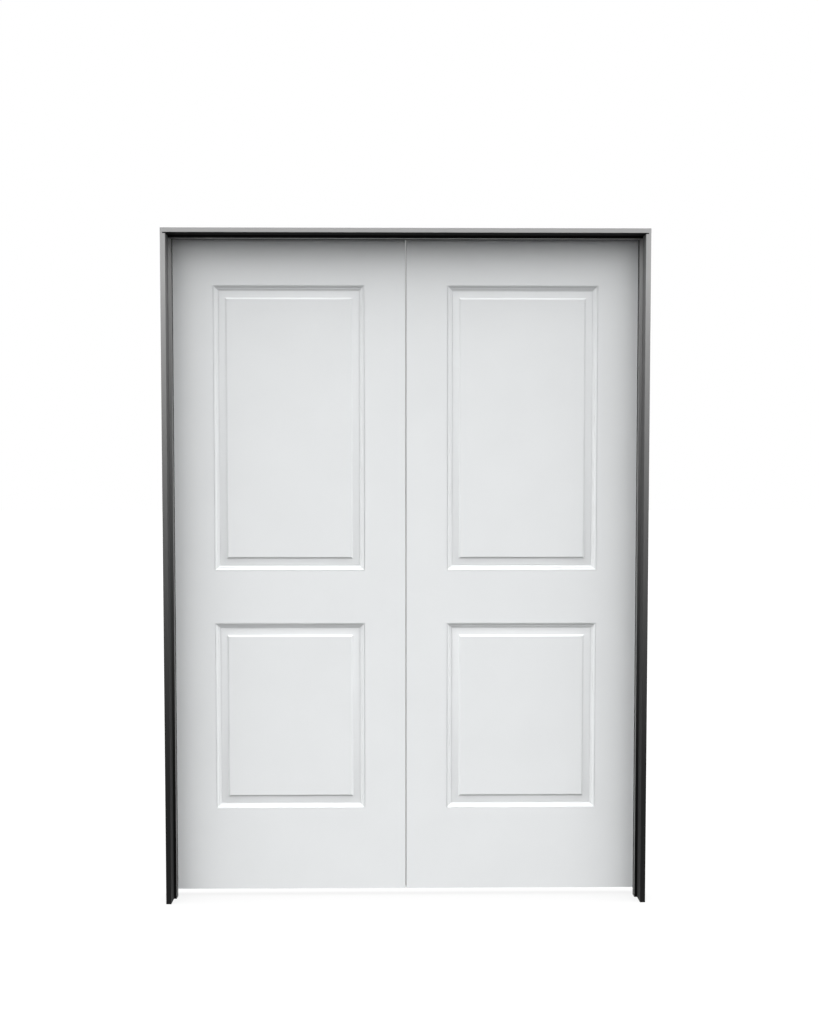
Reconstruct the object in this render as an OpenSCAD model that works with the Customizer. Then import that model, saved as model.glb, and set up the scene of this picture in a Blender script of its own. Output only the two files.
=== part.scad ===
// Double interior door with moulded raised panels, hung in a flat jamb frame.
// Millimetres, +Z up, +X to the right. The leaves close against stops on the -Y side
// and swing away towards +Y, where the hinge barrels stand proud of the frame.
// The origin is on the floor, midway across the frame and midway through its depth
// with the hinge barrels counted in.

/* [Leaf] */
// Width of one leaf, at its back face
leaf_w = 712; // [560:1:920]
// How much narrower a leaf is at its front face, where the meeting edge is bevelled
meeting_bevel = 1.5; // [0:0.1:3]
// Height of each leaf
leaf_h = 2002; // [1900:1:2200]
// Thickness of each leaf
leaf_t = 35; // [34:0.5:45]
// Thickness of a moulded skin
skin_t = 3.2; // [2.8:0.1:4]
// Glue line between a skin and the core
glue_gap = 0.1; // [0.05:0.05:0.3]
// Width of the stiles inside a leaf
edge_stile_w = 32; // [28:1:45]
// Height of the top rail inside a leaf
edge_top_h = 45; // [30:1:80]
// Height of the bottom rail inside a leaf
edge_bottom_h = 60; // [40:1:120]

/* [Panels] */
// Flat margin from a leaf's hinge edge to the panel moulding
margin_hinge = 126.5; // [100:0.5:150]
// Flat margin from the panel moulding to a leaf's meeting edge
margin_meeting = 125.5; // [100:0.5:150]
// Flat margin above the upper panel
margin_top = 143; // [110:0.5:180]
// Flat band between the two panels
margin_lock = 162.5; // [120:0.5:220]
// Flat margin below the lower panel
margin_bottom = 252; // [180:0.5:300]
// Height of the lower panel
lower_panel_h = 576; // [400:1:700]

/* [Panel moulding] */
// Depth of the quirk, the narrow groove at the moulding's outer arris
quirk_d = 2.2; // [1:0.1:2.6]
// Width of the quirk's outer wall
quirk_w = 0.9; // [0.3:0.1:1.5]
// Depth at which the rounded member starts, inside the quirk
lip_d = 0.3; // [0.1:0.1:0.8]
// Width of the quirk's inner wall
quirk_back_w = 1; // [0.3:0.1:1.5]
// Width of the rounded outer member
round_w = 6; // [5:0.1:12]
// Depth of the rounded outer member
round_d = 4.5; // [2:0.1:5]
// Width of the flat ledge between the two members
ledge_w = 1.8; // [0.5:0.1:3]
// Width of the hollow inner member
hollow_w = 5.5; // [4:0.1:10]
// Depth of the hollow inner member
hollow_d = 3.2; // [2:0.1:5]
// Width of the groove round the raised panel
groove_w = 1.8; // [0.6:0.1:3]
// Depth of the groove below the members on its two sides
groove_cut = 1.6; // [0.3:0.1:2]
// Width of the slope that rises from the groove
slope_w = 19.5; // [14:0.5:30]
// Rise of the slope
slope_rise = 3; // [2:0.1:4]
// Width of the step up to the panel field
step_w = 5.5; // [2:0.1:8]
// Rise of the step up to the panel field
step_rise = 4.2; // [2:0.1:4.8]

/* [Frame] */
// Thickness of the side jambs
jamb_t = 15.5; // [14:0.5:25]
// Depth of the jambs through the wall
jamb_depth = 116; // [100:0.5:160]
// Thickness of the head jamb
head_t = 14; // [12:0.5:25]
// Thickness of the jamb tongue that covers the end of the head
tongue_t = 7; // [5:0.5:9]
// Rounding of the jambs' edges on the doorway side
jamb_ease_r = 1; // [0.5:0.1:3]
// Thickness of the stop strips
stop_t = 9; // [7:0.5:14]
// Width of the stop strips
stop_w = 29; // [20:0.5:40]
// Rounding of the stop strips' exposed edges
stop_ease_r = 1.2; // [0.5:0.1:3]

/* [Gaps] */
// Gap between a leaf's hinge edge and the jamb
side_gap = 3; // [2.5:0.1:4]
// Gap between the two leaves at their back faces
meeting_gap = 1; // [0.8:0.1:4]
// Gap between the leaves and the head jamb
top_gap = 3; // [2:0.1:6]
// Gap between the leaves and the floor
floor_gap = 22; // [5:0.5:30]
// Gap between a closed leaf and its stop
stop_gap = 1; // [0.5:0.1:3]

/* [Hinges] */
// Height of a hinge
hinge_h = 89; // [76:1:102]
// Thickness of a hinge plate
plate_t = 2; // [1.6:0.1:2.6]
// How far a hinge plate reaches in from the back face
plate_reach = 30; // [26:0.5:32]
// Radius of a hinge plate's rounded corners
plate_corner_r = 15.9; // [6:0.1:16]
// Room round a hinge plate in its gain
gain_fit = 0.1; // [0.05:0.05:0.3]
// Diameter of a hinge pin
pin_d = 6; // [5:0.1:7]
// Radial clearance of a pin in the knuckles
pin_fit = 0.05; // [0.03:0.01:0.08]
// Wall of a hinge knuckle
knuckle_wall = 2.2; // [1.8:0.1:2.6]
// Gap between two knuckles
knuckle_gap = 0.4; // [0.3:0.1:0.6]
// Gap between a hinge barrel and the back face of the frame
barrel_gap = 0.4; // [0.3:0.1:1.5]
// Diameter of a pin's head
pin_head_d = 9; // [8:0.1:10]
// Height of a pin's head
pin_head_h = 3.2; // [2:0.1:5]
// Length of pin below the lowest knuckle
pin_tail = 2; // [1:0.1:4]
// From the top of a leaf to the top of its upper hinge
top_hinge_drop = 178; // [120:1:260]
// From the bottom of a leaf to the bottom of its lower hinge
bottom_hinge_rise = 257; // [150:1:320]

/* [Screws] */
// Diameter of a hinge screw
screw_d = 4.4; // [3.5:0.1:5]
// Diameter of a hinge screw's head
screw_head_d = 8; // [7:0.1:9]
// Length of the hinge screws in the jambs
jamb_screw_l = 14; // [10:0.5:15]
// Length of the hinge screws in the leaves
leaf_screw_l = 25; // [16:1:28]
// Distance of the outer hinge screws from the back face
screw_far = 21; // [18:0.5:24]
// Distance of the middle hinge screw from the back face
screw_near = 11; // [9:0.5:14]
// Distance of the outer hinge screws from the ends of the hinge
screw_end = 17.5; // [14:0.5:22]
// Diameter of a corner screw
corner_screw_d = 3.6; // [3:0.1:4]
// Diameter of a corner screw's head
corner_head_d = 7; // [6:0.1:8]
// Length of a corner screw
corner_screw_l = 40; // [30:1:60]
// Spacing of the corner screws across the jamb
corner_screw_pitch = 38; // [25:1:45]
// Room round a screw or nail in its hole
screw_fit = 0.05; // [0.02:0.01:0.1]

/* [Stop nails] */
// Diameter of a stop nail
nail_d = 1.6; // [1.2:0.1:2]
// Diameter of a stop nail's head
nail_head_d = 2.6; // [2.2:0.1:3.5]
// How far a stop nail goes into the jamb behind its stop
nail_bite = 11; // [8:0.5:11.5]
// Distance of the end nails from the ends of a stop
nail_end = 75; // [40:5:150]
// Number of nails in a side stop
side_nails = 7; // [4:1:10]
// Number of nails in the head stop
head_nails = 5; // [3:1:8]

/* [Hidden] */
$fn = 64;
left = "left";
right = "right";

// Colours as the photo shows them
leaf_white = "#E4E6E7";
frame_grey = "#6E6E6E";
bare_pine = "#D8BC8C";
board_tan = "#B89A6C";
satin_steel = "#B4B5B5";
screw_steel = "#9A9B9B";

// Overall sizes
frame_w = 2 * (leaf_w + side_gap + jamb_t) + meeting_gap;
frame_h = floor_gap + leaf_h + top_gap + head_t;
barrel_r = pin_d / 2 + pin_fit + knuckle_wall;
axis_off = barrel_r + barrel_gap;
y_front = -(jamb_depth + axis_off + barrel_r) / 2;
y_back = y_front + jamb_depth;

// Places in the frame, for the left side
jamb_face = frame_w / 2 - jamb_t;
head_z = frame_h - head_t;
rabbet_x = frame_w / 2 - tongue_t;
stop_y = y_back - leaf_t - stop_gap - stop_w;
side_stop_h = head_z - stop_t;

// Places of a leaf, for the left side
hinge_edge = jamb_face - side_gap;
leaf_y = y_back - leaf_t;
inner_t = leaf_t - 2 * skin_t;
rail_w = leaf_w - 2 * edge_stile_w;

// Hinge axis and hinge heights
axis_x = jamb_face - side_gap / 2;
axis_y = y_back + axis_off;
low_hinge_z = floor_gap + bottom_hinge_rise + hinge_h / 2;
high_hinge_z = floor_gap + leaf_h - top_hinge_drop - hinge_h / 2;
hinge_z = [low_hinge_z, (low_hinge_z + high_hinge_z) / 2, high_hinge_z];
low = 0;
middle = 1;
high = 2;
knuckles = 5;
knuckle_h = (hinge_h - (knuckles - 1) * knuckle_gap) / knuckles;

// Each hinge plate's screws, as [distance from the back face, height from mid hinge]
screw_rise = hinge_h / 2 - screw_end;
plate_screws = [[screw_far, -screw_rise], [screw_near, 0], [screw_far, screw_rise]];
corner_screw_ys = [for (i = [-1 : 1]) y_front + jamb_depth / 2 + i * corner_screw_pitch];
screw_tip_l = 4;
screw_tip_r = 0.3;
nail_l = stop_t + nail_bite;
nail_tip_l = 2;
nail_head_h = 1;
// Length that a cut runs past the face it opens
cut_over = 1;

// Panel moulding: points [inset from the moulding's outer line, depth below the leaf's face].
// Each member starts at x and d. A bow above 0 starts gently and ends steeply, below 0 the reverse.
function member(x, d, w, fall, bow, steps) = [for (i = [0 : steps]) let (t = i / steps)
    [x + w * t, d + fall * ((1 - bow) * t + bow * t * t)]];
round_bow = 0.35;
round_steps = 5;
hollow_bow = -0.6;
hollow_steps = 6;
slope_bow = 0.45;
slope_steps = 6;
step_bow = -0.1;
step_steps = 4;
round_x = quirk_w + quirk_back_w;
ledge_x = round_x + round_w;
ledge_d = lip_d + round_d;
hollow_x = ledge_x + ledge_w;
groove_x = hollow_x + hollow_w;
groove_d = ledge_d + hollow_d;
slope_x = groove_x + groove_w;
step_x = slope_x + slope_w;
step_d = groove_d - slope_rise;
field_x = step_x + step_w;
field_d = step_d - step_rise;
slope_profile = member(slope_x, groove_d, slope_w, -slope_rise, slope_bow, slope_steps);
step_profile = member(step_x, step_d, step_w, -step_rise, step_bow, step_steps);
face_profile = concat(
    [[0, 0], [quirk_w, quirk_d]],
    member(round_x, lip_d, round_w, round_d, round_bow, round_steps),
    member(hollow_x, ledge_d, hollow_w, hollow_d, hollow_bow, hollow_steps),
    [[groove_x + groove_w / 2, groove_d + groove_cut]],
    slope_profile,
    [for (i = [1 : step_steps]) step_profile[i]]
);

// The skin's hidden side follows the moulding in a few flats, a skin's thickness below it
inner_profile = [
    [-skin_t / 2, skin_t],
    [groove_x - skin_t / 2, groove_d + skin_t],
    [slope_x + skin_t / 4, groove_d + skin_t],
    [step_x + skin_t / 4, step_d + skin_t],
    [field_x + skin_t / 2, field_d + skin_t]
];
core_profile = [for (p = inner_profile) [p.x, p.y + glue_gap]];
core_far_profile = [for (p = core_profile) [p.x, leaf_t - p.y]];

// The moulding's outer lines on a leaf, as [left, bottom, right, top] from its hinge corner
upper_panel_z = margin_bottom + lower_panel_h + margin_lock;
panels = [
    [margin_hinge, margin_bottom, leaf_w - margin_meeting, margin_bottom + lower_panel_h],
    [margin_hinge, upper_panel_z, leaf_w - margin_meeting, leaf_h - margin_top]
];
// A leaf's width and outline at a depth behind its front face
function leaf_w_at(depth) = leaf_w - meeting_bevel * (1 - depth / leaf_t);
function leaf_outline(depth) = [0, 0, leaf_w_at(depth), leaf_h];
core_outline = [edge_stile_w, edge_bottom_h, leaf_w - edge_stile_w, leaf_h - edge_top_h];

// Everything is drawn on the left and mirrored for the right
module on_side(side) {
    if (side == right) mirror([1, 0, 0]) children();
    else children();
}

// A leaf's own corner: hinge edge, front face and bottom
module in_leaf() {
    translate([-hinge_edge, leaf_y, floor_gap]) children();
}

// Countersunk screw, head uppermost at the origin; grow makes the hole it sits in
module screw(d, head_d, l, grow = 0) {
    r = d / 2 + grow;
    head_r = head_d / 2 + grow;
    rotate_extrude()
        polygon([[0, 0], [head_r, 0], [r, r - head_r], [r, screw_tip_l - l],
            [screw_tip_r + grow, -l - grow], [0, -l - grow]]);
}

// Stop nail, head uppermost at the origin; grow makes the hole it sits in
module nail(grow) {
    r = nail_d / 2 + grow;
    head_r = nail_head_d / 2 + grow;
    rotate_extrude()
        polygon([[0, 0], [head_r, 0], [head_r, -nail_head_h], [r, -nail_head_h],
            [r, nail_tip_l - nail_l], [screw_tip_r + grow, -nail_l - grow], [0, -nail_l - grow]]);
}

// Outline of a hinge plate: reach along X from the back face, height along Y
module plate_outline(grow) {
    reach = plate_reach + grow;
    half_h = hinge_h / 2 + grow;
    r = plate_corner_r + grow;
    translate([0, r - half_h]) square([reach, 2 * (half_h - r)]);
    intersection() {
        translate([0, -half_h]) square([reach, 2 * half_h]);
        union() {
            translate([0, -half_h]) square([reach - r, 2 * half_h]);
            for (s = [-1, 1]) translate([reach - r, s * (half_h - r)]) circle(r);
        }
    }
}

// A plate's thickness of the outline, from face_x towards -X, set at the back face
module plate_blank(face_x, z, grow = 0) {
    translate([face_x, y_back, z])
        rotate([90, 0, -90]) linear_extrude(plate_t) plate_outline(grow);
}

module jamb_plate_screws(level, grow = 0) {
    for (p = plate_screws)
        translate([-jamb_face, y_back - p.x, hinge_z[level] + p.y])
            rotate([0, 90, 0]) screw(screw_d, screw_head_d, jamb_screw_l, grow);
}

module leaf_plate_screws(level, grow = 0) {
    for (p = plate_screws)
        translate([-hinge_edge, y_back - p.x, hinge_z[level] + p.y])
            rotate([0, -90, 0]) screw(screw_d, screw_head_d, leaf_screw_l, grow);
}

// Knuckle and the neck that joins it to its plate, neck on the -X side of the axis
module knuckle_section() {
    difference() {
        union() {
            circle(barrel_r);
            translate([-side_gap / 2 - plate_t, -axis_off]) square([plate_t, axis_off]);
        }
        circle(pin_d / 2 + pin_fit);
    }
}

module knuckle_row(level, first, flip) {
    for (i = [first : 2 : knuckles - 1])
        translate([-axis_x, axis_y, hinge_z[level] - hinge_h / 2 + i * (knuckle_h + knuckle_gap)])
            mirror([flip, 0, 0]) linear_extrude(knuckle_h) knuckle_section();
}

module jamb_plate(side, level) {
    color(satin_steel) on_side(side) difference() {
        union() {
            plate_blank(-jamb_face, hinge_z[level]);
            knuckle_row(level, 0, 0);
        }
        jamb_plate_screws(level, screw_fit);
    }
}

module leaf_plate(side, level) {
    color(satin_steel) on_side(side) difference() {
        union() {
            plate_blank(plate_t - hinge_edge, hinge_z[level]);
            knuckle_row(level, 1, 1);
        }
        leaf_plate_screws(level, screw_fit);
    }
}

// Loose pin: domed head on the top knuckle, rounded tail below the lowest
module hinge_pin(side, level) {
    color(satin_steel) on_side(side) translate([-axis_x, axis_y, hinge_z[level]])
        rotate_extrude() {
            r = pin_d / 2;
            head_r = pin_head_d / 2;
            dome_h = pin_head_h / 2;
            translate([0, -hinge_h / 2 - pin_tail + r / 2]) square([r, hinge_h + pin_tail - r / 2]);
            translate([0, -hinge_h / 2 - pin_tail]) square([r / 2, r]);
            translate([r / 2, -hinge_h / 2 - pin_tail + r / 2]) circle(r / 2);
            translate([0, hinge_h / 2]) square([head_r, dome_h]);
            translate([0, hinge_h / 2 + dome_h])
                polygon([[0, 0], [head_r, 0], [head_r - dome_h / 2, dome_h], [0, dome_h]]);
        }
}

// Section of a flat board whose face at X = 0 is square and whose face at X = t has eased edges
module eased_section(t, w, r) {
    square([t - r, w]);
    translate([0, r]) square([t, w - 2 * r]);
    for (y = [r, w - r]) translate([t - r, y]) circle(r);
}

module side_jamb(side) {
    color(frame_grey) on_side(side) difference() {
        translate([-frame_w / 2, y_front, 0])
            linear_extrude(frame_h) eased_section(jamb_t, jamb_depth, jamb_ease_r);
        translate([-rabbet_x, y_front - cut_over, head_z])
            cube([jamb_t, jamb_depth + 2 * cut_over, head_t + cut_over]);
        for (level = [low : high]) {
            plate_blank(-jamb_face, hinge_z[level], gain_fit);
            jamb_plate_screws(level, screw_fit);
        }
        side_corner_screws(screw_fit);
        side_stop_nails(screw_fit);
    }
}

module head_jamb() {
    color(frame_grey) difference() {
        translate([-rabbet_x, y_front, frame_h]) rotate([0, 90, 0])
            linear_extrude(2 * rabbet_x) eased_section(head_t, jamb_depth, jamb_ease_r);
        for (side = [left, right]) on_side(side) side_corner_screws(screw_fit);
        head_stop_nails(screw_fit);
    }
}

module side_corner_screws(grow = 0) {
    for (y = corner_screw_ys)
        translate([-frame_w / 2, y, frame_h - head_t / 2])
            rotate([0, -90, 0]) screw(corner_screw_d, corner_head_d, corner_screw_l, grow);
}

module corner_screws() {
    color(screw_steel) for (side = [left, right]) on_side(side) side_corner_screws();
}

// Nails in a row along a stop of the given length, at equal steps between the end nails
function nail_row(count, length) = [for (i = [0 : count - 1])
    nail_end + i * (length - 2 * nail_end) / (count - 1)];

module side_stop_nails(grow = 0) {
    for (z = nail_row(side_nails, side_stop_h))
        translate([stop_t - jamb_face, stop_y + stop_w / 2, z]) rotate([0, 90, 0]) nail(grow);
}

module head_stop_nails(grow = 0) {
    for (x = nail_row(head_nails, 2 * jamb_face))
        translate([x - jamb_face, stop_y + stop_w / 2, side_stop_h]) rotate([180, 0, 0]) nail(grow);
}

module stop_nails() {
    color(screw_steel) {
        for (side = [left, right]) on_side(side) side_stop_nails();
        head_stop_nails();
    }
}

module side_stop(side) {
    color(frame_grey) on_side(side) difference() {
        translate([-jamb_face, stop_y, 0])
            linear_extrude(side_stop_h) eased_section(stop_t, stop_w, stop_ease_r);
        side_stop_nails(screw_fit);
    }
}

module head_stop() {
    color(frame_grey) difference() {
        translate([-jamb_face, stop_y, head_z]) rotate([0, 90, 0])
            linear_extrude(2 * jamb_face) eased_section(stop_t, stop_w, stop_ease_r);
        head_stop_nails(screw_fit);
    }
}

// Board with the two panels moulded into both faces. Each face has an outline and a list of rings
// [inset, depth] round each panel; the first ring gives the depth of the flat round the panels.
module panelled_board(near_outline, far_outline, near, far) {
    rings = len(near) + len(far);
    function corners(box, inset, depth) = [
        [box[0] + inset, depth, box[1] + inset],
        [box[2] - inset, depth, box[1] + inset],
        [box[2] - inset, depth, box[3] - inset],
        [box[0] + inset, depth, box[3] - inset]
    ];
    function outer(face, k) = 4 * face + k % 4;
    function ring(panel, i, k) = 8 + 4 * (panel * rings + i) + k % 4;
    // Flats round the panels: two stiles, then the bottom, lock and top rails
    function flats(face, i) = [
        [outer(face, 0), outer(face, 3), ring(1, i, 3), ring(1, i, 0), ring(0, i, 3), ring(0, i, 0)],
        [outer(face, 1), ring(0, i, 1), ring(0, i, 2), ring(1, i, 1), ring(1, i, 2), outer(face, 2)],
        [outer(face, 0), ring(0, i, 0), ring(0, i, 1), outer(face, 1)],
        [ring(0, i, 3), ring(1, i, 0), ring(1, i, 1), ring(0, i, 2)],
        [ring(1, i, 3), outer(face, 3), outer(face, 2), ring(1, i, 2)]
    ];
    function bands(i0, i1) = [for (panel = [0, 1], i = [i0 : i1 - 1], k = [0 : 3])
        [ring(panel, i, k), ring(panel, i + 1, k), ring(panel, i + 1, k + 1), ring(panel, i, k + 1)]];
    function fields(i) = [for (panel = [0, 1]) [for (k = [3 : -1 : 0]) ring(panel, i, k)]];
    function turned(faces) = [for (f = faces) [for (k = [0 : len(f) - 1]) f[(len(f) - k) % len(f)]]];
    last_near = len(near) - 1;
    first_far = len(near);
    last_far = rings - 1;
    points = concat(
        corners(near_outline, 0, near[0].y),
        corners(far_outline, 0, far[0].y),
        [for (p = panels, q = concat(near, far), c = corners(p, q.x, q.y)) c]
    );
    faces = concat(
        flats(0, 0), bands(0, last_near), fields(last_near),
        turned(flats(1, first_far)), turned(bands(first_far, last_far)), turned(fields(last_far)),
        [for (k = [0 : 3]) [outer(0, k), outer(0, k + 1), outer(1, k + 1), outer(1, k)]]
    );
    polyhedron(points, faces);
}

module front_skin(side) {
    color(leaf_white) on_side(side) in_leaf()
        panelled_board(leaf_outline(0), leaf_outline(skin_t), face_profile, inner_profile);
}

module back_skin(side) {
    color(leaf_white) on_side(side) difference() {
        in_leaf() translate([0, leaf_t, 0]) mirror([0, 1, 0])
            panelled_board(leaf_outline(leaf_t), leaf_outline(leaf_t - skin_t),
                face_profile, inner_profile);
        for (level = [low : high]) plate_blank(plate_t - hinge_edge, hinge_z[level], gain_fit);
    }
}

module core(side) {
    color(board_tan) on_side(side) in_leaf()
        panelled_board(core_outline, core_outline, core_profile, core_far_profile);
}

module hinge_stile(side) {
    color(bare_pine) on_side(side) difference() {
        in_leaf() translate([0, skin_t, 0]) cube([edge_stile_w, inner_t, leaf_h]);
        for (level = [low : high]) {
            plate_blank(plate_t - hinge_edge, hinge_z[level], gain_fit);
            leaf_plate_screws(level, screw_fit);
        }
    }
}

module meeting_stile(side) {
    inner_x = leaf_w - edge_stile_w;
    back_d = leaf_t - skin_t;
    color(bare_pine) on_side(side) in_leaf() linear_extrude(leaf_h)
        polygon([[inner_x, skin_t], [leaf_w_at(skin_t), skin_t],
            [leaf_w_at(back_d), back_d], [inner_x, back_d]]);
}

module top_rail(side) {
    color(bare_pine) on_side(side) in_leaf()
        translate([edge_stile_w, skin_t, leaf_h - edge_top_h]) cube([rail_w, inner_t, edge_top_h]);
}

module bottom_rail(side) {
    color(bare_pine) on_side(side) in_leaf()
        translate([edge_stile_w, skin_t, 0]) cube([rail_w, inner_t, edge_bottom_h]);
}

module jamb_screws(side) {
    color(screw_steel) on_side(side) for (level = [low : high]) jamb_plate_screws(level);
}

module leaf_screws(side) {
    color(screw_steel) on_side(side) for (level = [low : high]) leaf_plate_screws(level);
}

side_jamb(left);  // left_jamb
side_jamb(right);  // right_jamb
head_jamb();
side_stop(left);  // left_stop
side_stop(right);  // right_stop
head_stop();
stop_nails();
corner_screws();
jamb_plate(left, low);  // left_low_jamb_plate
jamb_plate(left, middle);  // left_middle_jamb_plate
jamb_plate(left, high);  // left_high_jamb_plate
jamb_plate(right, low);  // right_low_jamb_plate
jamb_plate(right, middle);  // right_middle_jamb_plate
jamb_plate(right, high);  // right_high_jamb_plate
hinge_pin(left, low);  // left_low_pin
hinge_pin(left, middle);  // left_middle_pin
hinge_pin(left, high);  // left_high_pin
hinge_pin(right, low);  // right_low_pin
hinge_pin(right, middle);  // right_middle_pin
hinge_pin(right, high);  // right_high_pin
jamb_screws(left);  // left_jamb_screws
jamb_screws(right);  // right_jamb_screws
front_skin(left);  // left_front_skin
back_skin(left);  // left_back_skin
hinge_stile(left);  // left_hinge_stile
meeting_stile(left);  // left_meeting_stile
top_rail(left);  // left_top_rail
bottom_rail(left);  // left_bottom_rail
core(left);  // left_core
leaf_plate(left, low);  // left_low_leaf_plate
leaf_plate(left, middle);  // left_middle_leaf_plate
leaf_plate(left, high);  // left_high_leaf_plate
leaf_screws(left);  // left_leaf_screws
front_skin(right);  // right_front_skin
back_skin(right);  // right_back_skin
hinge_stile(right);  // right_hinge_stile
meeting_stile(right);  // right_meeting_stile
top_rail(right);  // right_top_rail
bottom_rail(right);  // right_bottom_rail
core(right);  // right_core
leaf_plate(right, low);  // right_low_leaf_plate
leaf_plate(right, middle);  // right_middle_leaf_plate
leaf_plate(right, high);  // right_high_leaf_plate
leaf_screws(right);  // right_leaf_screws
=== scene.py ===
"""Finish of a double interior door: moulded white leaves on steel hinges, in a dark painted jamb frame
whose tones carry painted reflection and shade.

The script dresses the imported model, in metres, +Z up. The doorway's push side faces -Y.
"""

import math

import bmesh
import bpy
from mathutils import Euler, Matrix, Vector


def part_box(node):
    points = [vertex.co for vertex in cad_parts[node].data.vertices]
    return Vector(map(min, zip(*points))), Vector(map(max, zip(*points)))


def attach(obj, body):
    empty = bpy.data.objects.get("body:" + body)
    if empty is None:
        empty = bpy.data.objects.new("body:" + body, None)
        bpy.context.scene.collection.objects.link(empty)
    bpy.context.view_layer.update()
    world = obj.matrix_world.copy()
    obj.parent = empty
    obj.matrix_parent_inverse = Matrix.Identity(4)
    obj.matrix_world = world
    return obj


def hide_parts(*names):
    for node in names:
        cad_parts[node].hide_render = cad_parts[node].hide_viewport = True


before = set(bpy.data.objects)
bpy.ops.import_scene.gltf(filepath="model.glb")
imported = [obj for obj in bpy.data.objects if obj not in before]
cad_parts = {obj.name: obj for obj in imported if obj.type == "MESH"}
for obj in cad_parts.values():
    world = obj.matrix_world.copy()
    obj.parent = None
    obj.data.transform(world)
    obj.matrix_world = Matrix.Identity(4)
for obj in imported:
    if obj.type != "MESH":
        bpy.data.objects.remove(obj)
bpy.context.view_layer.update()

bl_info = {
    "name": "Double interior door",
    "version": (1, 0, 0),
    "blender": (4, 5, 0),
    "location": "View3D > Sidebar > Door",
    "description": "Dresses a pair of moulded panel leaves and their jamb frame",
    "category": "Object",
}

MM = 0.001
SIDES = ("left", "right")
LEVELS = ("low", "middle", "high")
AXES = ("X", "Y", "Z")
FRONT = "front"
BACK = "back"
EASED_ANGLE = math.radians(70)
EASED_FLATS = 2
WELD = 0.01 * MM
METRE_DIGITS = 5


# Colours

def linear(hex_colour):
    """An sRGB hex colour as linear red, green, blue and alpha, by the standard's own curve."""
    parts = [int(hex_colour[i:i + 2], 16) / 255 for i in (1, 3, 5)]
    return (*[c / 12.92 if c <= 0.04045 else ((c + 0.055) / 1.055) ** 2.4 for c in parts], 1.0)


def colour_property(name, hex_colour, description):
    return bpy.props.FloatVectorProperty(
        name=name, description=description, default=linear(hex_colour), size=4, subtype="COLOR",
        min=0, max=1)


def length_property(name, millimetres, description):
    return bpy.props.FloatProperty(
        name=name, description=description, default=millimetres * MM, unit="LENGTH",
        subtype="DISTANCE", precision=METRE_DIGITS)


# Settings

class MouldingSettings(bpy.types.PropertyGroup):
    """The section of the panel moulding, from its outer line to the raised field"""
    quirk_width: length_property(
        "Quirk width", 0.15, "Width of the outer wall of the narrow groove at the outer arris")
    quirk_fall: length_property("Quirk fall", 2.2, "Depth of the narrow groove at the outer arris")
    quirk_floor_width: length_property(
        "Quirk floor width", 1.5, "Width of the floor of that groove")
    quirk_floor_fall: length_property(
        "Quirk floor fall", 0, "Depth of that floor from one side to the other")
    lip_width: length_property("Lip width", 0.15, "Width of the inner wall of that groove")
    lip_fall: length_property(
        "Lip fall", -1.9, "Depth of that inner wall, below zero because it rises")
    round_width: length_property("Round width", 6.1, "Width of the rounded outer member")
    round_fall: length_property("Round fall", 4.5, "Depth of the rounded outer member")
    ledge_width: length_property(
        "Ledge width", 1.8, "Width of the flat ledge between the two members")
    ledge_fall: length_property("Ledge fall", 0, "Depth of the ledge from one end to the other")
    hollow_width: length_property("Hollow width", 5.8, "Width of the hollow inner member")
    hollow_fall: length_property("Hollow fall", 3.2, "Depth of the hollow inner member")
    groove_width: length_property(
        "Groove width", 0.15, "Width of the outer wall of the groove round the raised panel")
    groove_fall: length_property("Groove fall", 1.6, "Depth of the groove round the raised panel")
    groove_floor_width: length_property(
        "Groove floor width", 0.8, "Width of the floor of that groove")
    groove_floor_fall: length_property(
        "Groove floor fall", 0, "Depth of that floor from one side to the other")
    bank_width: length_property("Bank width", 0.15, "Width of the inner wall of that groove")
    bank_fall: length_property(
        "Bank fall", -1.6, "Depth of that inner wall, below zero because it rises")
    slope_width: length_property(
        "Slope width", 19.9, "Width of the slope that rises from the groove")
    slope_fall: length_property(
        "Slope fall", -3, "Depth of the slope, below zero because it rises")
    step_width: length_property("Step width", 5.5, "Width of the step up to the panel field")
    step_fall: length_property("Step fall", -4.2, "Depth of the step, below zero because it rises")
    skin_thickness: length_property("Skin thickness", 3.2, "Thickness of a moulded skin")
    arris: length_property("Arris", 0.5, "Easing of a skin's outer edges")


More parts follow.
